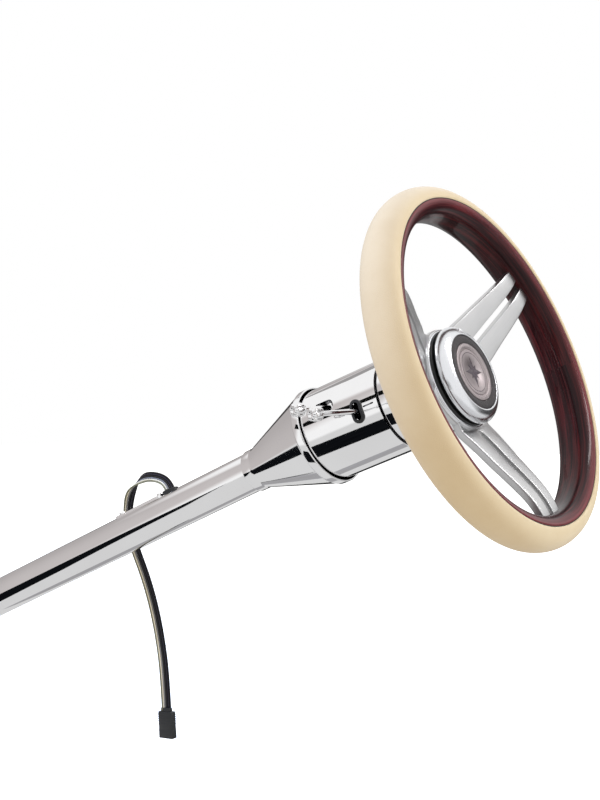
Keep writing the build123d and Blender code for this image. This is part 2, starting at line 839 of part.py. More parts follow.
def bend_radii(points):
    """Largest radius that each corner of a route leaves room for."""
    radii = []
    for before, corner, after in zip(points, points[1:], points[2:]):
        arriving = Vector(*corner) - Vector(*before)
        leaving = Vector(*after) - Vector(*corner)
        half_turn = math.radians(arriving.get_angle(leaving)) / 2
        radii.append(0.45 * min(arriving.length, leaving.length) / math.tan(half_turn))
    return radii


harness_radii = bend_radii(harness_route)
with BuildLine() as route:
    FilletPolyline(*harness_route, radius=harness_radii)
harness_line = route.wire()

with BuildPart() as harness:
    with BuildSketch(Plane(origin=harness_line @ 0, z_dir=harness_line % 0)):
        Circle(harness_width / 2)
    sweep(path=harness_line, transition=Transition.ROUND)
save(harness, "harness")
harness_section = math.pi * harness_width**2 / 4
print("harness radii", [round(radius, 1) for radius in harness_radii])
print("harness length", round(harness_line.length, 1))
print("harness volume over section times length", harness.part.volume / (harness_line.length * harness_section))

PLUG = Plane(origin=harness_line @ 1, x_dir=(1, 0, 0), z_dir=harness_line % 1)
with BuildPart() as harness_plug:
    with BuildSketch(PLUG) as shell:
        RectangleRounded(plug_width, plug_depth, 1.5)
    extrude(shell.sketch, amount=plug_length)
    with BuildSketch(PLUG.offset(plug_length - 8)) as mouth:
        RectangleRounded(plug_width - 4, plug_depth - 4, 0.8)
    extrude(mouth.sketch, amount=9, mode=Mode.SUBTRACT)
save(harness_plug, "harness_plug")
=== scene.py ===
"""Looks of the tilt column and its wheel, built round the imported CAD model.

Metres throughout, in the frame of the CAD: +X towards the driver, +Y the driver's right, +Z up.
Pieces of the head and the wheel are made in millimetres round their own axis (x right, y up, z along
the axis towards the driver, counted from the tilt pivot) and then placed by that axis.
"""
import json
import math

import bmesh
import bpy
from mathutils import Matrix, Vector, noise


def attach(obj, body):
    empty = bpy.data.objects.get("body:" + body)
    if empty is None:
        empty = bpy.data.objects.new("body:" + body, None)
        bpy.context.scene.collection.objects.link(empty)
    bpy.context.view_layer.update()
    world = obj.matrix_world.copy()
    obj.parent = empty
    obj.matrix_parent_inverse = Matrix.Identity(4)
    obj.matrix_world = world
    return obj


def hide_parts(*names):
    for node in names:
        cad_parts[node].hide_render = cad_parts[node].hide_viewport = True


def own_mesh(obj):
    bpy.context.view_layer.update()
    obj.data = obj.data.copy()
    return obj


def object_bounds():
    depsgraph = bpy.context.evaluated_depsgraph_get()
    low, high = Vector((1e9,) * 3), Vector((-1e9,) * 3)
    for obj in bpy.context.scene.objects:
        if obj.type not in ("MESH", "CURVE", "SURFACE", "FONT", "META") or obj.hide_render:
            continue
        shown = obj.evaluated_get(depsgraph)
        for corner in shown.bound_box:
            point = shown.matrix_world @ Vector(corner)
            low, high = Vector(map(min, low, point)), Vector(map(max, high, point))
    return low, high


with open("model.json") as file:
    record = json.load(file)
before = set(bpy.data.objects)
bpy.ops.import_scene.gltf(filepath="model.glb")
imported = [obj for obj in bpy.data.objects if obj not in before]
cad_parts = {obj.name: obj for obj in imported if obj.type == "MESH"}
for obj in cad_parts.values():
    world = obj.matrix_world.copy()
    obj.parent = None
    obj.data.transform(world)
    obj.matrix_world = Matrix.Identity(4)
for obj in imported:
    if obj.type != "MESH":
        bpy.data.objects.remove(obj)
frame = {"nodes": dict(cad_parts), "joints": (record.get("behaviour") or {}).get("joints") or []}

cad_low, cad_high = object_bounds()
MM = 0.001
TAU = 2 * math.pi
JOINTS = {joint["name"]: joint for joint in frame["joints"]}
RIGHT = Vector((0, 1, 0))


def axis_matrix(joint_name, origin=None):
    """Local frame of a turning joint: x is the driver's right, y is up, z runs along the axis."""
    joint = JOINTS[joint_name]
    along = Vector(joint["axis"]).normalized()
    matrix = Matrix((RIGHT, along.cross(RIGHT), along)).transposed().to_4x4()
    matrix.translation = Vector(joint["pos_m"]) if origin is None else Vector(origin)
    return matrix


HEAD = axis_matrix("wheel_spin")
COLUMN = axis_matrix("lower_shaft_spin", origin=(0, 0, 0))
RIM_PLANE = 200.0  # millimetres along the head's axis
WHEEL_CENTRE = HEAD @ Vector((0, 0, RIM_PLANE * MM))

# ---------------------------------------------------------------- camera
CAMERA_AZIMUTH = math.radians(35.14)
CAMERA_DISTANCE = 1.33083
CAMERA_LEFT = 0.18486
CAMERA_BELOW = 0.03371
view_dir = Vector((-math.sin(CAMERA_AZIMUTH), math.cos(CAMERA_AZIMUTH), 0))
view_right = Vector((math.cos(CAMERA_AZIMUTH), math.sin(CAMERA_AZIMUTH), 0))
camera = bpy.data.objects.new("camera", bpy.data.cameras.new("camera"))
bpy.context.scene.collection.objects.link(camera)
camera.data.sensor_width = 36
camera.data.lens = 60.88
camera.data.clip_start = 0.05
camera.data.clip_end = 60
camera.location = (WHEEL_CENTRE - view_right * CAMERA_LEFT - view_dir * CAMERA_DISTANCE
                   - Vector((0, 0, CAMERA_BELOW)))
camera.rotation_mode = "QUATERNION"
camera.rotation_quaternion = view_dir.to_track_quat("-Z", "Y")
bpy.context.scene.camera = camera
bpy.context.scene.view_settings.view_transform = "Standard"

# ---------------------------------------------------------------- node helpers


class Nodes:
    """Short way to write a material's nodes."""

    def __init__(self, name):
        self.material = bpy.data.materials.new(name)
        self.material.use_nodes = True
        self.tree = self.material.node_tree
        self.tree.nodes.clear()
        self.output = self.add("ShaderNodeOutputMaterial")
        self.shader = self.add("ShaderNodeBsdfPrincipled")
        self.link(self.shader.outputs[0], self.output.inputs["Surface"])

    def add(self, kind, **settings):
        node = self.tree.nodes.new(kind)
        for key, value in settings.items():
            setattr(node, key, value)
        return node

    def link(self, source, target):
        self.tree.links.new(source, target)

    def set(self, **values):
        for key, value in values.items():
            self.shader.inputs[key.replace("_", " ")].default_value = value
        return self

    def coordinates(self, scale=(1, 1, 1), uv=False):
        source = self.add("ShaderNodeTexCoord").outputs["UV" if uv else "Object"]
        mapping = self.add("ShaderNodeMapping")
        mapping.inputs["Scale"].default_value = scale
        self.link(source, mapping.inputs["Vector"])
        return mapping.outputs["Vector"]

    def noise(self, where, scale, detail=3.0, roughness=0.5, distortion=0.0):
        node = self.add("ShaderNodeTexNoise")
        node.inputs["Scale"].default_value = scale
        node.inputs["Detail"].default_value = detail
        node.inputs["Roughness"].default_value = roughness
        node.inputs["Distortion"].default_value = distortion
        self.link(where, node.inputs["Vector"])
        return node.outputs["Fac"]

    def voronoi(self, where, scale):
        node = self.add("ShaderNodeTexVoronoi", feature="F1")
        node.inputs["Scale"].default_value = scale
        self.link(where, node.inputs["Vector"])
        return node.outputs["Distance"]

    def ramp(self, factor, *stops):
        node = self.add("ShaderNodeValToRGB")
        elements = node.color_ramp.elements
        while len(elements) < len(stops):
            elements.new(0.5)
        for element, (position, color) in zip(elements, stops):
            element.position = position
            element.color = (*color, 1)
        self.link(factor, node.inputs["Fac"])
        return node.outputs["Color"]

    def math(self, operation, *values, clamp=False):
        node = self.add("ShaderNodeMath", operation=operation, use_clamp=clamp)
        for socket, value in zip(node.inputs, values):
            if isinstance(value, (int, float)):
                socket.default_value = value
            else:
                self.link(value, socket)
        return node.outputs[0]

    def range(self, factor, low, high):
        node = self.add("ShaderNodeMapRange")
        node.inputs["To Min"].default_value = low
        node.inputs["To Max"].default_value = high
        self.link(factor, node.inputs["Value"])
        return node.outputs["Result"]

    def bump(self, height, distance, strength=1.0, normal=None):
        node = self.add("ShaderNodeBump")
        node.inputs["Distance"].default_value = distance
        node.inputs["Strength"].default_value = strength
        self.link(height, node.inputs["Height"])
        if normal is not None:
            self.link(normal, node.inputs["Normal"])
        return node.outputs["Normal"]

    def colour(self, source):
        self.link(source, self.shader.inputs["Base Color"])

    def rough(self, source):
        self.link(source, self.shader.inputs["Roughness"])

    def normal(self, source):
        self.link(source, self.shader.inputs["Normal"])


def srgb(red, green, blue):
    """Linear colour of 0 to 255 screen values."""
    channels = [value / 255 for value in (red, green, blue)]
    return tuple(c / 12.92 if c <= 0.04045 else ((c + 0.055) / 1.055) ** 2.4 for c in channels)


def grey(level):
    return (level, level, level)


# ---------------------------------------------------------------- materials


def make_chrome():
    n = Nodes("chrome_plate").set(Metallic=1.0)
    where = n.coordinates()
    smudge = n.noise(where, 9, 4, 0.6)
    n.colour(n.ramp(smudge, (0.3, (0.90, 0.895, 0.90)), (0.7, (0.955, 0.955, 0.96))))
    hairline = n.noise(n.coordinates((1, 1, 30)), 260, 2)
    n.rough(n.math("ADD", n.range(smudge, 0.015, 0.06), n.range(hairline, 0.0, 0.02)))
    n.normal(n.bump(n.noise(where, 14, 2), 0.0006, 0.12))
    return n.material


def make_satin(name, light, dark, low, high, stretch=(1, 1, 1), uv=False):
    """Brushed metal: fine lines along one direction and a broad cloudiness."""
    n = Nodes(name).set(Metallic=1.0)
    cloud = n.noise(n.coordinates(), 22, 3)
    lines = n.noise(n.coordinates(stretch, uv), 1.0 if uv else 900, 3, 0.6)
    mixed = n.math("ADD", n.math("MULTIPLY", cloud, 0.5), n.math("MULTIPLY", lines, 0.5))
    n.colour(n.ramp(mixed, (0.3, dark), (0.7, light)))
    n.rough(n.range(lines, low, high))
    n.normal(n.bump(lines, 0.00003, 0.12))
    return n.material


def make_cast(name, light, dark, roughness):
    """Cast metal with a pitted skin."""
    n = Nodes(name).set(Metallic=1.0)
    where = n.coordinates()
    pits = n.noise(where, 500, 4, 0.7)
    n.colour(n.ramp(n.noise(where, 40, 3), (0.3, dark), (0.7, light)))
    n.rough(n.range(pits, roughness - 0.1, roughness + 0.15))
    n.normal(n.bump(pits, 0.0002, 0.5))
    return n.material


def make_leather():
    n = Nodes("cream_hide").set(Metallic=0.0, Specular_IOR_Level=0.35, Sheen_Weight=0.12,
                                Sheen_Roughness=0.4)
    where = n.coordinates()
    pebbles = n.voronoi(where, 950)
    pores = n.noise(where, 2600, 3, 0.6)
    cloud = n.noise(where, 14, 4, 0.6)
    mottled = n.math("ADD", n.math("MULTIPLY", cloud, 0.75), n.math("MULTIPLY", pores, 0.25))
    n.colour(n.ramp(mottled, (0.32, srgb(208, 183, 144)), (0.52, srgb(213, 189, 151)),
                    (0.72, srgb(218, 196, 160))))
    n.rough(n.range(pores, 0.38, 0.58))
    coarse = n.bump(pebbles, 0.00018, 0.55)
    n.normal(n.bump(pores, 0.00008, 0.5, coarse))
    return n.material


# width of the band of painted highlight along the wood's front crest
HIGHLIGHT_BAND_WIDTH = 0.011


def make_wood():
    """Dark mahogany under lacquer, with a painted highlight: a lighter colour along its front crest.

    The surface's u runs round the rim, so the grain does too; its v starts at the front seam.
    """
    n = Nodes("dark_mahogany").set(Metallic=0.0, Specular_IOR_Level=0.12, Coat_Weight=0.3,
                                   Coat_Roughness=0.04, Coat_IOR=1.4)
    fibres = n.noise(n.coordinates((14, 520, 1), uv=True), 1.0, 5, 0.62, 0.4)
    bands = n.noise(n.coordinates((5, 110, 1), uv=True), 1.0, 3, 0.55, 1.1)
    pores = n.noise(n.coordinates((90, 1900, 1), uv=True), 1.0, 2, 0.5)
    mixed = n.math("ADD", n.math("MULTIPLY", fibres, 0.5), n.math("MULTIPLY", bands, 0.5))
    deep = n.ramp(mixed, (0.32, srgb(9, 1, 4)), (0.47, srgb(42, 9, 13)), (0.62, srgb(86, 28, 30)),
                  (0.78, srgb(30, 6, 9)))
    # painted highlight: a lighter red-brown colour that stands in for the lacquer's gloss along the
    # front crest
    painted_highlight = n.ramp(mixed, (0.32, srgb(78, 24, 28)), (0.55, srgb(124, 52, 54)),
                    (0.75, srgb(96, 34, 38)))
    across = n.add("ShaderNodeSeparateXYZ")
    n.link(n.coordinates(uv=True), across.inputs[0])
    # share of the painted highlight: full at the front seam, gone one band width across
    highlight_share = n.math("SUBTRACT", 1.0, n.math("DIVIDE", across.outputs["Y"], HIGHLIGHT_BAND_WIDTH), clamp=True)
    blend = n.add("ShaderNodeMix", data_type="RGBA")
    n.link(highlight_share, blend.inputs[0])
    n.link(deep, blend.inputs[6])
    n.link(painted_highlight, blend.inputs[7])
    n.colour(blend.outputs[2])
    n.rough(n.range(pores, 0.22, 0.42))
    n.normal(n.bump(pores, 0.00005, 0.25))
    return n.material


def make_plastic(name, light, dark, roughness, texture=800, depth=0.00008):
    n = Nodes(name).set(Metallic=0.0)
    where = n.coordinates()
    fine = n.noise(where, texture, 3)
    n.colour(n.ramp(n.noise(where, 30, 3), (0.3, dark), (0.7, light)))
    n.rough(n.range(fine, roughness - 0.08, roughness + 0.1))
    n.normal(n.bump(fine, depth, 0.5))
    return n.material


def make_lacquer(name, light, dark):
    n = Nodes(name).set(Metallic=0.0, Specular_IOR_Level=0.25, Coat_Weight=0.15, Coat_Roughness=0.08)
    where = n.coordinates()
    n.colour(n.ramp(n.noise(where, 60, 4, 0.6), (0.35, dark), (0.65, light)))
    n.rough(n.range(n.noise(where, 500, 2), 0.22, 0.36))
    return n.material


CHROME = make_chrome()
SPOKE_METAL = make_satin("spoke_satin", (0.70, 0.70, 0.70), (0.63, 0.63, 0.635), 0.27, 0.37,
                         (30, 1400, 1), uv=True)
BEZEL_METAL = make_satin("bezel_satin", (0.88, 0.89, 0.91), (0.78, 0.79, 0.82), 0.16, 0.28)
STEEL = make_satin("ground_steel", (0.62, 0.62, 0.64), (0.48, 0.48, 0.50), 0.22, 0.40)
ALLOY = make_cast("cast_alloy", (0.58, 0.58, 0.60), (0.42, 0.42, 0.44), 0.45)
BRONZE = make_cast("bush_bronze", (0.55, 0.36, 0.16), (0.40, 0.25, 0.10), 0.4)
LEATHER = make_leather()
WOOD = make_wood()
RING_LACQUER = make_lacquer("ring_lacquer", srgb(44, 33, 34), srgb(26, 19, 20))
MEDAL_METAL = make_satin("medal_spun", (0.50, 0.45, 0.45), (0.36, 0.31, 0.32), 0.42, 0.54)
ENAMEL = make_lacquer("badge_enamel", srgb(88, 76, 80), srgb(60, 50, 54))
BLACK = make_plastic("moulded_black", grey(0.018), grey(0.010), 0.42)
GROOVE = make_plastic("gap_black", grey(0.012), grey(0.006), 0.6)


def wire_jacket(name, red, green, blue):
    colour = srgb(red, green, blue)
    light, dark = (tuple(channel * share for channel in colour) for share in (1.1, 0.85))
    return make_plastic(name, light, dark, 0.38, 1500, 0.00003)


# ---------------------------------------------------------------- mesh helpers


def finish_mesh(name, mesh, body, material, node=None, slot=None, matrix=None,
                smooth_angle=None):
    """Links a mesh as a piece that rides on a body and, where named, stands for a CAD node."""
    piece = bpy.data.objects.new(name, mesh)
    bpy.context.scene.collection.objects.link(piece)
    if matrix is not None:
        mesh.transform(matrix)
    for polygon in mesh.polygons:
        polygon.use_smooth = True
    if smooth_angle is not None:
        mesh.set_sharp_from_angle(angle=math.radians(smooth_angle))
    if not mesh.materials:
        mesh.materials.append(material)
    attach(piece, body)
    if node:
        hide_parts(node)
    return piece


def grid_mesh(name, rings, closed_rings=True, caps=False, uvs=None):
    """Mesh through rows of points, one ring to a row; uvs(row, column) gives a corner's (u, v)."""
    rows, columns = len(rings), len(rings[0])
    mesh = bpy.data.meshes.new(name)
    points = [point for ring in rings for point in ring]
    faces, corners = [], []
    for row in range(rows if closed_rings else rows - 1):
        for column in range(columns):
            square = [(row, column), (row, column + 1), (row + 1, column + 1), (row + 1, column)]
            faces.append([(r % rows) * columns + c % columns for r, c in square])
            corners.append(square)
    if caps:
        faces.append(list(range(columns))[::-1])
        faces.append([(rows - 1) * columns + c for c in range(columns)])
        corners += [[(0, c) for c in range(columns)], [(rows - 1, c) for c in range(columns)]]
    mesh.from_pydata([tuple(p) for p in points], [], faces)
    if uvs:
        layer = mesh.uv_layers.new(name="UVMap")
        for polygon, square in zip(mesh.polygons, corners):
            for loop, (row, column) in zip(polygon.loop_indices, square):
                layer.data[loop].uv = uvs(row, column)
    fix = bmesh.new()
    fix.from_mesh(mesh)
    bmesh.ops.recalc_face_normals(fix, faces=fix.faces)
    fix.to_mesh(mesh)
    fix.free()
    return mesh


def rounded(corners, radius, steps=4):
    """Closed outline with each corner rounded off; a corner may bring its own radius."""
    outline = []
    count = len(corners)
    for index, corner in enumerate(corners):
        here = Vector(corner[:2])
        own = corner[2] if len(corner) > 2 else radius
        before = Vector(corners[index - 1][:2]) - here
        after = Vector(corners[(index + 1) % count][:2]) - here
        cut = min(own, before.length * 0.49, after.length * 0.49)
        if own <= 0:
            outline.append(here)
            continue
        start, end = here + before.normalized() * cut, here + after.normalized() * cut
        for step in range(steps + 1):
            t = step / steps
            outline.append(start * (1 - t) ** 2 + here * 2 * t * (1 - t) + end * t**2)
    return outline


def lathe(name, outline, body, material, matrix=HEAD, segments=192, **options):
    """Turns a closed outline of (along, radius) points in millimetres about the local axis."""
    rings = []
    for turn in range(segments):
        angle = TAU * turn / segments
        c, s = math.cos(angle), math.sin(angle)
        rings.append([Vector((p[1] * c, p[1] * s, p[0])) * MM for p in outline])
    around = [0.0]
    for first, second in zip(outline, outline[1:] + outline[:1]):
        around.append(around[-1] + (Vector(second) - Vector(first)).length * MM)
    radius = max(p[1] for p in outline) * MM
    mesh = grid_mesh(name, rings, uvs=lambda row, column: (
        TAU * radius * row / segments, around[column]))
    return finish_mesh(name, mesh, body, material, matrix=matrix, **options)


def cord_section(along, radius, thickness):
    """Round section of a thin ring: eight points about (along, radius)."""
    turns = [TAU * step / 8 for step in range(8)]
    return [(along + thickness * math.sin(a), radius + thickness * math.cos(a)) for a in turns]


def dress(material, *nodes):
    """Gives CAD nodes a material."""
    for name in nodes:
        mesh = frame["nodes"][name].data
        mesh.materials.clear()
        mesh.materials.append(material)


# ---------------------------------------------------------------- harness, the free cord
HARNESS_ROUTE = [Vector(point) * MM for point in (
    (-68.6, 0.0, -7.4),
    (-73.5, 0.0, 4.1),
    (-92.0, 3.0, 11.0),
    (-120.0, 8.0, 10.0),
    (-143.0, 14.0, -5.0),
    (-156.0, 21.0, -28.0),
    (-160.0, 28.0, -56.0),
    (-155.0, 35.0, -83.0),
    (-146.0, 42.0, -114.0),
    (-139.0, 49.0, -149.0),
    (-133.0, 54.0, -189.0),
    (-129.0, 58.0, -233.0),
    (-127.0, 59.0, -277.0),
)]
HARNESS_FACING = Vector((0.576, -0.818, 0.0))  # the untwisted bundle's flat is square to this
HARNESS_WIRES = [
    ("wire_olive", (118, 116, 92), 1.9),
    ("wire_pale", (222, 212, 188), 1.7),
    ("wire_grey", (120, 118, 118), 1.9),
    ("wire_black", (12, 11, 12), 2.3),
    ("wire_ink", (17, 13, 30), 2.3),
    ("wire_dark", (10, 9, 9), 1.9),
]
WIRE_SIDES = 10
WIRE_STRAY = 0.5
WIRE_SWELL = 0.04  # each wire is this much fuller, so that neighbours touch


def spline_points(points, resolution=24):
    """Points along the smooth NURBS line that has these as its control points."""
    curve = bpy.data.curves.new("route", "CURVE")
    curve.dimensions = "3D"
    curve.resolution_u = resolution
    spline = curve.splines.new("NURBS")
    spline.points.add(len(points) - 1)
    for place, point in zip(spline.points, points):
        place.co = (*point, 1)
    spline.order_u = 3
    spline.use_endpoint_u = True
    holder = bpy.data.objects.new("route", curve)
    bpy.context.scene.collection.objects.link(holder)
    bpy.context.view_layer.update()
    line = bpy.data.meshes.new_from_object(holder)
    found = [vertex.co.copy() for vertex in line.vertices]
    bpy.data.objects.remove(holder)
    bpy.data.curves.remove(curve)
    bpy.data.meshes.remove(line)
    return found


def flat_frames(line, twist):
    """(point, side, face) along a line, and its length; the flat faces one way before its twist."""
    frames = []
    lengths = [0.0]
    for first, second in zip(line, line[1:]):
        lengths.append(lengths[-1] + (second - first).length)
    for index, point in enumerate(line):
        ahead = line[min(index + 1, len(line) - 1)] - line[max(index - 1, 0)]
        ahead.normalize()
        side = ahead.cross(HARNESS_FACING).normalized()
        turned = Matrix.Rotation(twist(lengths[index] / lengths[-1]), 3, ahead) @ side
        frames.append((point, turned, ahead.cross(turned)))
    return frames, lengths[-1]


def harness_twist(share):
    """Twist at a share of the length: the bundle turns over once, at the top of its arc."""
    start, stretch = 0.11, 0.20
    eased = min(max((share - start) / stretch, 0.0), 1.0)
    return math.radians(8 + 180 * eased * eased * (3 - 2 * eased))


def make_harness():
    """Six wires side by side as one flat bundle."""
    line = spline_points(HARNESS_ROUTE)
    frames, length = flat_frames(line, harness_twist)
    mesh = bpy.data.meshes.new("harness_wires")
    build = bmesh.new()
    total = sum(width for _, _, width in HARNESS_WIRES)
    place = -total / 2
    for number, (name, colour, width) in enumerate(HARNESS_WIRES):
        centre = place + width / 2
        place += width
        mesh.materials.append(wire_jacket(name, *colour))
        rows = []
        for index, (point, side, face) in enumerate(frames):
            along = index / len(frames)
            stray = noise.noise(Vector((number * 3.1, along * 7.0, 0.5))) * WIRE_STRAY
            middle = point + (side * centre + face * stray) * MM
            ring = []
            for corner in range(WIRE_SIDES):
                angle = TAU * corner / WIRE_SIDES
                out = (side * math.cos(angle) + face * math.sin(angle)) * (width / 2 + WIRE_SWELL) * MM
                ring.append(build.verts.new(middle + out))
            rows.append(ring)
        for first, second in zip(rows, rows[1:]):
            for corner in range(WIRE_SIDES):
                after = (corner + 1) % WIRE_SIDES
                skin = build.faces.new((first[corner], first[after], second[after], second[corner]))
                skin.material_index = number
        for ring, turn in ((rows[0], -1), (rows[-1], 1)):
            cap = build.faces.new(ring[::turn])
            cap.material_index = number
    bmesh.ops.recalc_face_normals(build, faces=build.faces)
    build.to_mesh(mesh)
    build.free()
    piece = finish_mesh("harness_wires", mesh, "column", None, "harness", "harness_wires")
    return piece, line, length


harness, harness_line, harness_length = make_harness()


def box_mesh(build, low, high, bevel=0.0004):
    """Adds a box with rounded edges to a bmesh."""
    made = bmesh.ops.create_cube(build, size=1.0)
    low, high = Vector(low), Vector(high)
    for vertex in made["verts"]:
        vertex.co = Vector([low[i] + (vertex.co[i] + 0.5) * (high[i] - low[i]) for i in range(3)])
    edges = {edge for vertex in made["verts"] for edge in vertex.link_edges}
    bmesh.ops.bevel(build, geom=list(edges), offset=bevel, segments=2, affect="EDGES", profile=0.5)


def make_plug():
    """Flat connector: a ribbed shell, a latch, a collar at the wires and a mouth with blades."""
    ahead = (harness_line[-1] - harness_line[-2]).normalized()
    along_x = (Vector((1, 0, 0)) - ahead * ahead.x).normalized()
    place = Matrix((along_x, ahead.cross(along_x), ahead)).transposed().to_4x4()
    place.translation = harness_line[-1]
    shell = bpy.data.meshes.new("connector_shell")
    build = bmesh.new()
    width, depth, length = 0.0105, 0.0042, 0.0335  # the first two are half sizes
    wall, mouth, proud = 0.0014, 0.011, 0.0003
    box_mesh(build, (-width, -depth, 0.001), (width, depth, length - 0.010), 0.0009)
    for side in (-1, 1):
        box_mesh(build, (side * width - wall * (side > 0), -depth, length - mouth),
                 (side * width + wall * (side < 0), depth, length))
        box_mesh(build, (-width + wall / 2, side * depth - wall * (side > 0), length - mouth),
                 (width - wall / 2, side * depth + wall * (side < 0), length))
    rib_pitch, rib_thickness = 0.0028, 0.0012
    for rib in range(5):
        start = 0.004 + rib * rib_pitch
        box_mesh(build, (-width - proud, -depth - proud, start),
                 (width + proud, depth + proud, start + rib_thickness))
    box_mesh(build, (-0.003, -depth - proud, 0.018), (0.003, -depth + 0.0008, 0.030), 0.0003)
    box_mesh(build, (-0.0068, -0.0030, -0.0035), (0.0068, 0.0030, 0.0025), 0.0008)
    build.to_mesh(shell)
    build.free()
    shell_piece = finish_mesh("connector_shell", shell, "column", BLACK, "harness_plug",
                              "black_plastic", place, 40)
    blades = bpy.data.meshes.new("connector_blades")
    build = bmesh.new()
    blade_pitch, blade_half = 0.0031, 0.0008
    for number in range(len(HARNESS_WIRES)):
        x = (number - (len(HARNESS_WIRES) - 1) / 2) * blade_pitch
        box_mesh(build, (x - blade_half, -0.0016, length - 0.012),
                 (x + blade_half, 0.0016, length - 0.002), 0.0002)
    build.to_mesh(blades)
    build.free()
    blade_piece = finish_mesh("connector_blades", blades, "column", BRONZE, None, "bronze", place, 40)
    return shell_piece, blade_piece


plug_pieces = make_plug()

# ---------------------------------------------------------------- column
dress(CHROME, "column_tube", "head_housing", "slot_cover", "cover_screws", "signal_rod", "tilt_rod")
dress(STEEL, "lower_shaft", "upper_shaft", "drive_pin", "pivot_pins", "signal_pin", "tilt_lever_pin",
      "wheel_nut", "hub_screws", "bearing_inner_race", "bearing_outer_race", "bearing_balls", "rim_core")
dress(ALLOY, "pivot_yoke", "tilt_carrier")
dress(BRONZE, "neck_bush", "rear_bush", "low_bearing")
dress(BLACK, "signal_switch", "exit_grommet", "horn_cup", "signal_escutcheon")

# the bell: a collar on the tube, a straight flare and a rolled lip
lathe("bell_shell", rounded([
    (57.0, 22.3, 0.3), (57.0, 23.7, 0.8), (69.5, 23.9, 2.0), (156.5, 53.0, 1.5), (157.5, 54.0, 0.8),
    (166.0, 54.0, 1.2), (166.0, 52.2, 0.8), (157.0, 51.6, 1.0), (70.5, 22.3, 1.0)], 0.5),
    "column", CHROME, COLUMN, node="column_bell", slot="chrome", segments=256)

# the hub adapter: a drum with a chamfered front, open at the rear, and a boss on the shaft
lathe("adapter_shell", rounded([
    (98.0, 44.6, 0.4), (98.0, 47.6, 0.8), (141.5, 47.6, 1.2), (155.8, 42.2, 0.8), (155.8, 7.1, 0.2),
    (148.0, 7.1, 0.2), (148.0, 9.6, 0.2), (124.0, 9.6, 0.4), (124.0, 17.0, 0.8), (146.0, 17.0, 1.0),
    (146.0, 42.0, 1.0), (136.0, 44.6, 0.6)], 0.5),
    "wheel", CHROME, node="hub_adapter", slot="chrome", segments=256)


def middle_of(node_name):
    """Middle of a CAD node's points at rest."""
    node = frame["nodes"][node_name]
    points = [node.matrix_world @ vertex.co for vertex in node.data.vertices]
    return Vector([(min(p[i] for p in points) + max(p[i] for p in points)) / 2 for i in range(3)])


# (along, radius, depth of the flutes from 0 to 1) of a lever knob, about its middle
KNOB_SHAPE = [
    (-7.4, 3.3, 0.0), (-7.4, 5.0, 0.1), (-7.0, 6.1, 0.4), (-6.0, 6.9, 0.8), (-4.6, 7.3, 1.0),
    (0.0, 7.4, 1.0), (3.6, 7.3, 1.0), (5.2, 6.8, 1.0), (6.3, 5.9, 0.9), (7.0, 4.8, 0.6),
    (7.3, 3.7, 0.3), (7.2, 3.0, 0.1), (6.5, 2.2, 0.0), (5.9, 1.2, 0.0), (5.7, 0.02, 0.0),
]
KNOB_STEPS = 120
KNOB_LOBES = 6
FLUTE_SHARE = 0.20


def make_knob(name, lever):
    """Fluted knob whose lobes run over a domed end into a small dimple."""
    centre = middle_of(name)
    axis = (centre - middle_of(lever + "_rod")).normalized()
    across = RIGHT.cross(axis).cross(axis).normalized()
    matrix = Matrix((across, axis.cross(across), axis)).transposed().to_4x4()
    matrix.translation = centre
    rings = []
    for along, radius, fluted in KNOB_SHAPE:
        ring = []
        for step in range(KNOB_STEPS):
            angle = TAU * step / KNOB_STEPS
            flute = (0.5 + 0.5 * math.cos(KNOB_LOBES * angle)) ** 3
            reach = radius * (1 - FLUTE_SHARE * fluted * flute)
            ring.append(Vector((reach * math.cos(angle), reach * math.sin(angle), along)) * MM)
        rings.append(ring)
    mesh = grid_mesh(name + "_lobed", rings, closed_rings=False, caps=True)
    finish_mesh(name + "_lobed", mesh, lever + "_lever", CHROME, name, "chrome", matrix, 70)


make_knob("signal_knob", "signal")
make_knob("tilt_knob", "tilt")

# ---------------------------------------------------------------- rim
RIM_RADIUS = 173.3
RIM_ACROSS = 16.7
RIM_DEEP = 20.9
RIM_MEAN = 19.0  # near the mean of the section's two half sizes; turns an angle into a length
SEAM_RADIUS = 171.0
SEAM = math.acos((SEAM_RADIUS - RIM_RADIUS) / RIM_ACROSS)
RIM_SEGMENTS = 360


def oval(angle, exponent, grow=0.0):
    """(along, radius) of a point of the rim's section; a higher exponent squares the oval off."""
    c, s = math.cos(angle), math.sin(angle)
    reach = (abs(c) ** exponent + abs(s) ** exponent) ** (-1 / exponent)
    return RIM_PLANE + (RIM_DEEP + grow) * s * reach, RIM_RADIUS + (RIM_ACROSS + grow) * c * reach


def leather_outline():
    """Outer side of the section, puffed a little, with its edges rolled into the seam."""
    outline = []
    steps = 40
    for step in range(steps + 1):
        share = step / steps
        angle = -SEAM + 2 * SEAM * share
        edge = min(share, 1 - share) * 2 * SEAM * RIM_MEAN
        puff = 0.25 - 1.5 * max(0.0, 1 - edge / 1.3) ** 2
        outline.append(oval(angle, 2.0, puff))
    inner_angles = (SEAM, SEAM / 2, 0, -SEAM / 2, -SEAM)
    return outline + [oval(angle, 2.0, -4.0) for angle in inner_angles]


def wood_outline():
    """Inner side of the section: fuller than an oval, with a flatter face towards the hub."""
    outline = []
    steps = 48
    for step in range(steps + 1):
        share = step / steps
        angle = SEAM + (TAU - 2 * SEAM) * share
        edge = min(share, 1 - share) * (TAU - 2 * SEAM) * RIM_MEAN
        dip = -1.0 * max(0.0, 1 - edge / 1.0) ** 2
        full = 2.0 + 0.75 * math.sin(math.pi * share)
        outline.append(oval(angle, full, dip))
    inner_angles = (TAU - SEAM, math.pi + 0.6, math.pi, math.pi - 0.6, SEAM)
    return outline + [oval(angle, 2.0, -5.0) for angle in inner_angles]


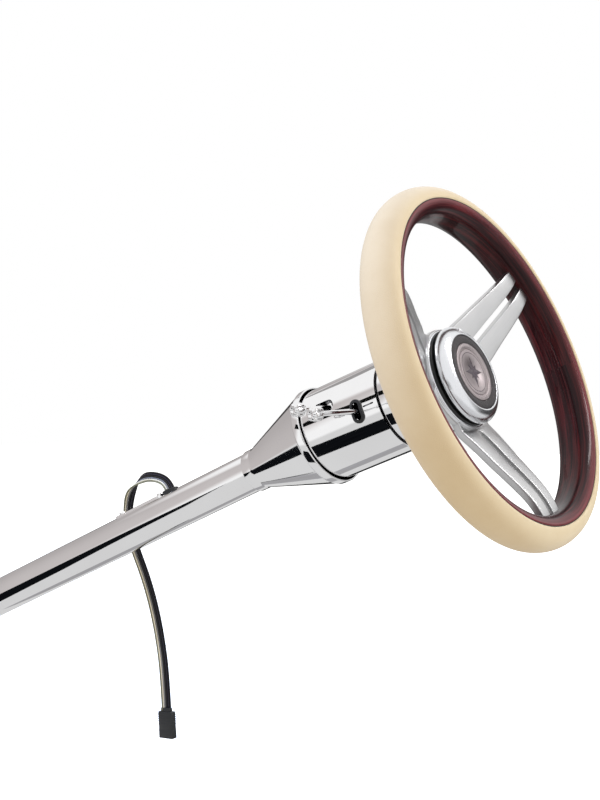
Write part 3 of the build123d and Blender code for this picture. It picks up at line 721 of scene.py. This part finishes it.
lathe("leather_grip", leather_outline(), "wheel", LEATHER, node="rim_leather", slot="cream_leather",
      segments=RIM_SEGMENTS)
lathe("wood_grip", wood_outline(), "wheel", WOOD, node="rim_wood", slot="dark_wood",
      segments=RIM_SEGMENTS)
for seam_name, seam_angle in (("seam_cord", SEAM), ("seam_cord_back", -SEAM)):
    lathe(seam_name, cord_section(*oval(seam_angle, 2.0, -1.0), 0.6), "wheel", GROOVE,
          slot="black_plastic", segments=RIM_SEGMENTS)

# ---------------------------------------------------------------- spokes
WHEEL_TURN = 7  # degrees that the wheel stands turned from straight ahead
SPOKE_TURNS = [math.radians(WHEEL_TURN + 60 + 120 * number) for number in range(3)]
SPOKE_FACE = [(40, 163), (51.5, 163), (58, 166.2), (66, 170.3), (78, 175.8), (90, 181.1),
              (105, 188.3), (120, 195.2), (135, 201.2), (150, 204.6), (163, 205.2)]
SPOKE_STEPS = 8
SPOKE_DEPTH = 8.0
SPOKE_ROOT = 32.0
SPOKE_TAPER = 0.1118
SLOT_HALF = 4.6
SLOT_START = 56.0


def spoke_line():
    """(radius, along) points of a spoke's front face: a crisp fold near the hub, smooth beyond it."""
    points = [Vector((radius, along)) for radius, along in SPOKE_FACE]
    fine = [points[0], (points[0] + points[1]) / 2]
    for index in range(1, len(points) - 1):
        p1, p2 = points[index], points[index + 1]
        p0 = points[index - 1] if index > 1 else p1 * 2 - p2
        p3 = points[min(index + 2, len(points) - 1)]
        for step in range(SPOKE_STEPS):
            t = step / SPOKE_STEPS
            fine.append(0.5 * (2 * p1 + (p2 - p0) * t + (2 * p0 - 5 * p1 + 4 * p2 - p3) * t**2
                               + (3 * p1 - p0 - 3 * p2 + p3) * t**3))
    fine.append(points[-1])
    return fine


def bar_inner(radius):
    """Half width of the slot, which starts with a round end."""
    past = min(max(radius - SLOT_START, 0.0) / SLOT_HALF, 1.0)
    return SLOT_HALF * math.sqrt(1 - (1 - past) ** 2)


def bar_section(inner, outer, depth):
    """Section of one bar, (sideways, into the depth), its long edges rounded."""
    corners = [(inner, 0.0, 0.8), ((inner + outer) / 2, 0.25, 4.0), (outer, 0.0, 1.6),
               (outer, -depth, 1.2), (inner, -depth, 0.8)]
    return rounded(corners, 1.0, 5)


def make_spokes():
    """Three tapered spokes, each in two halves with its slot between them."""
    line = spoke_line()
    around_step = 0.0011
    mesh_parts = []
    for turn in SPOKE_TURNS:
        out = Vector((-math.sin(turn), math.cos(turn), 0))
        across = Vector((math.cos(turn), math.sin(turn), 0))
        for side in (-1, 1):
            rings = []
            lengths = [0.0]
            for index, point in enumerate(line):
                ahead = line[min(index + 1, len(line) - 1)] - line[max(index - 1, 0)]
                front = Vector((-ahead.y, ahead.x)).normalized()
                if index:
                    lengths.append(lengths[-1] + (point - line[index - 1]).length)
                outer = SPOKE_ROOT - (point.x - line[0].x) * SPOKE_TAPER
                ring = []
                for sideways, height in bar_section(bar_inner(point.x), outer, SPOKE_DEPTH):
                    radius = point.x + front.x * height
                    along = point.y + front.y * height
                    ring.append((out * radius + across * side * sideways + Vector((0, 0, along))) * MM)
                rings.append(ring)
            mesh_parts.append(grid_mesh(
                "bar", rings, closed_rings=False, caps=True,
                uvs=lambda row, column: (lengths[row] * MM, column * around_step)))
    build = bmesh.new()
    for part in mesh_parts:
        build.from_mesh(part)
        bpy.data.meshes.remove(part)
    mesh = bpy.data.meshes.new("spoke_bars")
    build.to_mesh(mesh)
    build.free()
    finish_mesh("spoke_bars", mesh, "wheel", SPOKE_METAL, "spoke_frame", "satin_steel", HEAD, 28)


make_spokes()
lathe("hub_plate", rounded([
    (156.2, 11.0, 0.4), (156.2, 54.0, 1.2), (163.0, 54.0, 2.2), (163.0, 11.0, 0.4)], 1.0),
    "wheel", SPOKE_METAL, slot="satin_steel")
lathe("hub_collar", rounded([
    (160.0, 50.6, 0.2), (160.0, 52.8, 0.2), (165.6, 52.8, 1.2), (166.2, 50.6, 0.3)], 0.5),
    "wheel", BEZEL_METAL, slot="satin_steel")

# ---------------------------------------------------------------- horn button
lathe("horn_bezel_dome", rounded([
    (171.1, 39.4, 0.3), (171.1, 49.8, 0.5), (173.6, 51.4, 1.2), (176.4, 50.9, 1.2), (180.2, 48.6, 2.5),
    (183.2, 44.6, 2.5), (184.6, 40.6, 1.0), (184.3, 39.4, 0.3), (180.0, 39.4, 0.3)], 0.6, 5),
    "horn_button", BEZEL_METAL, node="horn_bezel", slot="satin_steel", segments=256)
lathe("horn_face_ring", rounded([
    (180.0, 30.4, 0.3), (180.0, 39.3, 0.3), (183.5, 39.3, 0.5), (183.9, 35.0, 3.0),
    (183.5, 30.4, 0.5)], 0.4),
    "horn_button", RING_LACQUER, node="horn_ring", slot="face_ring", segments=192)
lathe("horn_medal_disc", rounded([
    (176.0, 0.01, 0), (176.0, 39.3, 0.4), (180.0, 39.3, 0.4), (180.0, 30.3, 0.3), (184.1, 30.3, 0.7),
    (184.3, 26.6, 0.9), (183.6, 26.1, 0.2), (183.5, 25.0, 0.2), (182.6, 24.7, 0.2), (182.6, 24.1, 0.2),
    (183.5, 23.8, 0.3), (183.2, 0.01, 0)], 0.3),
    "horn_button", MEDAL_METAL, node="horn_medal", slot="medal", segments=192)


def make_badge():
    """A compass star in low relief inside a thin raised circle."""
    build = bmesh.new()
    base, top, tip_rise = 183.3, 184.05, 0.3
    shoulder, ridge_share = 4.2, 0.93
    for number in range(8):
        angle = TAU * number / 8
        reach, waist = (10.5, 2.6) if number % 2 else (17.5, 3.4)
        tip = Vector((math.sin(angle) * reach, math.cos(angle) * reach))
        ahead = Vector((math.sin(angle), math.cos(angle)))
        across = Vector((ahead.y, -ahead.x))
        left, right = ahead * shoulder - across * waist, ahead * shoulder + across * waist
        outline = [build.verts.new((p.x * MM, p.y * MM, base * MM))
                   for p in (tip, left, Vector((0, 0)), right)]
        peak = build.verts.new((0, 0, top * MM))
        nose = build.verts.new((*(value * MM * ridge_share for value in tip), (base + tip_rise) * MM))
        build.faces.new((outline[0], outline[1], peak, nose))
        build.faces.new((outline[3], outline[0], nose, peak))
        build.faces.new((outline[1], outline[2], peak))
        build.faces.new((outline[2], outline[3], peak))
        build.faces.new(outline[::-1])
    bmesh.ops.recalc_face_normals(build, faces=build.faces)
    mesh = bpy.data.meshes.new("horn_badge_star")
    build.to_mesh(mesh)
    build.free()
    finish_mesh("horn_badge_star", mesh, "horn_button", ENAMEL, "horn_emblem", "emblem", HEAD, 20)
    lathe("horn_badge_circle", cord_section(183.2, 20.6, 0.45), "horn_button", ENAMEL, slot="emblem",
          segments=128)


make_badge()


def make_horn_coil():
    """The contact spring between the cup and the button."""
    turns, per_turn, sides = 2.5, 60, 10
    rear, front, radius, wire = 167.5, 175.0, 36.0, 1.0
    steps = int(turns * per_turn)
    rings = []
    for step in range(steps + 1):
        angle = TAU * step / per_turn
        along = rear + (front - rear) * step / steps
        ring = []
        for corner in range(sides):
            tilt = TAU * corner / sides
            reach = radius + wire * math.cos(tilt)
            height = along + wire * math.sin(tilt)
            ring.append(Vector((reach * math.cos(angle), reach * math.sin(angle), height)) * MM)
        rings.append(ring)
    mesh = grid_mesh("horn_coil", rings, closed_rings=False, caps=True)
    piece = finish_mesh("horn_coil", mesh, "wheel", STEEL, "horn_spring", "bright_steel", HEAD, 60)
    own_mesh(piece)


make_horn_coil()

# ---------------------------------------------------------------- stage: floor, world and lights
FLOOR = cad_low.z - 0.03
FLOOR_HALF = 9
CARD_LEVEL = FLOOR + 0.002


def stage_plane(name, corners, material, seen=True):
    """A flat plane of the studio; an unseen one only shows in reflections."""
    mesh = bpy.data.meshes.new(name)
    mesh.from_pydata([tuple(c) for c in corners], [], [list(range(len(corners)))])
    mesh.materials.append(material)
    plane = bpy.data.objects.new(name, mesh)
    bpy.context.scene.collection.objects.link(plane)
    if not seen:
        plane.visible_camera = plane.visible_diffuse = plane.visible_shadow = False
    return plane


def make_glow(name, light, dark, colour, strength, specular=0.5):
    """Matt surface that gives light."""
    n = Nodes(name).set(Metallic=0.0, Roughness=0.9, Specular_IOR_Level=specular,
                        Emission_Color=(*colour, 1), Emission_Strength=strength)
    n.colour(n.ramp(n.noise(n.coordinates(), 3, 2), (0.3, grey(dark)), (0.7, grey(light))))
    return n.material


def make_card(name, light, dark, glow=0.0):
    """Matt card with no gloss, which may glow a little so that no light tints it."""
    material = make_plastic(name, grey(light), grey(dark), 0.95)
    inputs = material.node_tree.nodes["Principled BSDF"].inputs
    inputs["Specular IOR Level"].default_value = 0.0
    inputs["Emission Color"].default_value = (1, 0.97, 0.97, 1)
    inputs["Emission Strength"].default_value = glow
    return material


def flat_card(name, material, *corners):
    """A card that lies just above the floor and only shows in reflections."""
    stage_plane(name, [(x, y, CARD_LEVEL) for x, y in corners], material, seen=False)


# only the camera sees the floor
floor_corners = [(x * FLOOR_HALF, y * FLOOR_HALF, FLOOR)
                 for x, y in ((-1, -1), (1, -1), (1, 1), (-1, 1))]
floor = stage_plane("floor", floor_corners, make_glow("pale_floor", 0.92, 0.88, (1, 1, 1), 0.6, 0.0))
floor.visible_glossy = floor.visible_diffuse = False

# dark and grey cards that only reflections see; the plated parts mirror them as stripes
CARD_BLACK = make_card("card_black", 0.004, 0.002)
CARD_GREY = make_card("card_grey", 0.06, 0.04, 0.30)
flat_card("card_tube", CARD_BLACK, (-0.93, -0.98), (-0.90, -0.40), (-0.47, -0.15), (-0.40, -0.24),
          (-0.37, -0.56), (-0.60, -1.00))
flat_card("card_head", CARD_BLACK, (-0.17, -0.67), (-0.06, -0.29), (0.24, -0.26), (0.16, -0.60))
flat_card("card_behind", CARD_GREY, (-0.42, 0.02), (-0.36, 0.22), (0.30, 0.27), (0.30, 0.12),
          (-0.10, 0.09))
flat_card("card_far", CARD_BLACK, (-1.0, 0.50), (-0.9, 1.15), (0.50, 1.25), (0.45, 0.66))
stage_plane("card_wedge", [(-0.50, -0.68, 0.26), (-0.32, -0.80, 0.25), (-0.26, -0.72, 0.34),
                           (-0.44, -0.60, 0.37)], CARD_BLACK, seen=False)
stage_plane("card_above", [(-0.60, 0.34, 0.56), (-0.38, 0.46, 0.56), (-0.30, 0.34, 0.68),
                           (-0.52, 0.22, 0.68)], CARD_GREY, seen=False)

# a bright upright strip in front and to the right; lacquer and plate mirror it as a thin line
stage_plane("strip", [(1.95, 0.84, 1.25), (1.80, 1.14, 1.25), (1.50, 1.04, 2.9), (1.65, 0.76, 2.9)],
            make_glow("strip_glow", 0.8, 0.7, (1, 0.97, 0.96), 13.0), seen=False)


def make_world():
    """White to the camera, a soft even light to matt surfaces, and a tent to reflections.

    The tent has a grey wall on the left, a dimmer floor, a dim stretch behind the part and a dark
    band low round the sides. x, y and z are the parts of the direction that a ray looks in.
    """
    world = bpy.data.worlds.new("studio")
    bpy.context.scene.world = world
    world.use_nodes = True
    tree = world.node_tree
    tree.nodes.clear()

    def feed(socket, value):
        """Links a socket to another, or sets it to a number or a colour."""
        if isinstance(value, bpy.types.NodeSocket):
            tree.links.new(value, socket)
        else:
            socket.default_value = value

    def smooth(value, low, high, start=0.0, end=1.0):
        node = tree.nodes.new("ShaderNodeMapRange")
        node.interpolation_type = "SMOOTHSTEP"
        for name, number in zip(("From Min", "From Max", "To Min", "To Max"), (low, high, start, end)):
            node.inputs[name].default_value = number
        feed(node.inputs["Value"], value)
        return node.outputs["Result"]

    def fall(value, low, high):
        return smooth(value, low, high, 1.0, 0.0)

    def combine(operation, first, *others):
        for other in others:
            node = tree.nodes.new("ShaderNodeMath")
            node.operation = operation
            feed(node.inputs[0], first)
            feed(node.inputs[1], other)
            first = node.outputs[0]
        return first

    def product(*values):
        return combine("MULTIPLY", *values)

    def background(colour, strength):
        node = tree.nodes.new("ShaderNodeBackground")
        feed(node.inputs["Color"], colour)
        feed(node.inputs["Strength"], strength)
        return node.outputs["Background"]

    def mix(share, first, second):
        node = tree.nodes.new("ShaderNodeMixShader")
        for socket, value in zip(node.inputs, (share, first, second)):
            feed(socket, value)
        return node.outputs["Shader"]

    split = tree.nodes.new("ShaderNodeSeparateXYZ")
    feed(split.inputs["Vector"], tree.nodes.new("ShaderNodeTexCoord").outputs["Generated"])
    x, y, z = (split.outputs[axis] for axis in "XYZ")
    wall = product(fall(x, -0.70, -0.55), fall(z, 0.42, 0.52), smooth(z, -0.34, -0.26))
    wall_dim = product(wall, smooth(y, -0.75, 0.4, 0.38, 0.50))
    floor_dim = smooth(z, -0.36, -0.26, 0.27, 0.0)
    back_dim = product(smooth(y, 0.50, 0.62), fall(z, 0.16, 0.26), smooth(z, -0.30, -0.22), 0.5)
    # the band keeps to the middle of the column's length, so that the plating reads from the sides
    along = combine("ADD", product(x, COLUMN.col[2].x), product(z, COLUMN.col[2].z))
    band = product(smooth(along, -0.44, -0.34), fall(along, 0.55, 0.68))
    band_dim = product(band, product(smooth(z, -0.20, -0.12), fall(z, 0.05, 0.16)), 0.75)
    level = combine("SUBTRACT", 0.95, wall_dim, floor_dim, back_dim, band_dim)

    tint = tree.nodes.new("ShaderNodeMix")
    tint.data_type = "RGBA"
    feed(tint.inputs[0], wall)
    feed(tint.inputs[6], (1, 1, 1, 1))
    feed(tint.inputs[7], (1, 0.94, 0.93, 1))
    tent = background(tint.outputs[2], combine("MAXIMUM", level, 0.05))
    ambient = background((1, 0.985, 0.945, 1), smooth(z, -0.9, 0.5, 0.90, 1.0))
    backdrop = background((1, 1, 1, 1), 1.0)
    path = tree.nodes.new("ShaderNodeLightPath")
    lit = mix(path.outputs["Is Diffuse Ray"], tent, ambient)
    output = tree.nodes.new("ShaderNodeOutputWorld")
    feed(output.inputs["Surface"], mix(path.outputs["Is Camera Ray"], lit, backdrop))


make_world()


def soft_light(name, location, target, power, colour):
    """Area light that reflections don't see."""
    light = bpy.data.lights.new(name, "AREA")
    light.shape = "RECTANGLE"
    light.size, light.size_y = 1.2, 1.0
    light.energy = power
    light.color = colour
    holder = bpy.data.objects.new(name, light)
    bpy.context.scene.collection.objects.link(holder)
    holder.location = location
    holder.rotation_mode = "QUATERNION"
    holder.rotation_quaternion = (Vector(target) - Vector(location)).to_track_quat("-Z", "Y")
    holder.visible_glossy = False


soft_light("key_above_left", (-0.9, -1.3, 2.0), (0.25, 0, 0.1), 80, (0.36, 0.54, 1.0))
soft_light("fill_right", (2.2, 1.9, 0.7), (0.35, 0, 0.1), 62, (0.62, 0.78, 1.0))
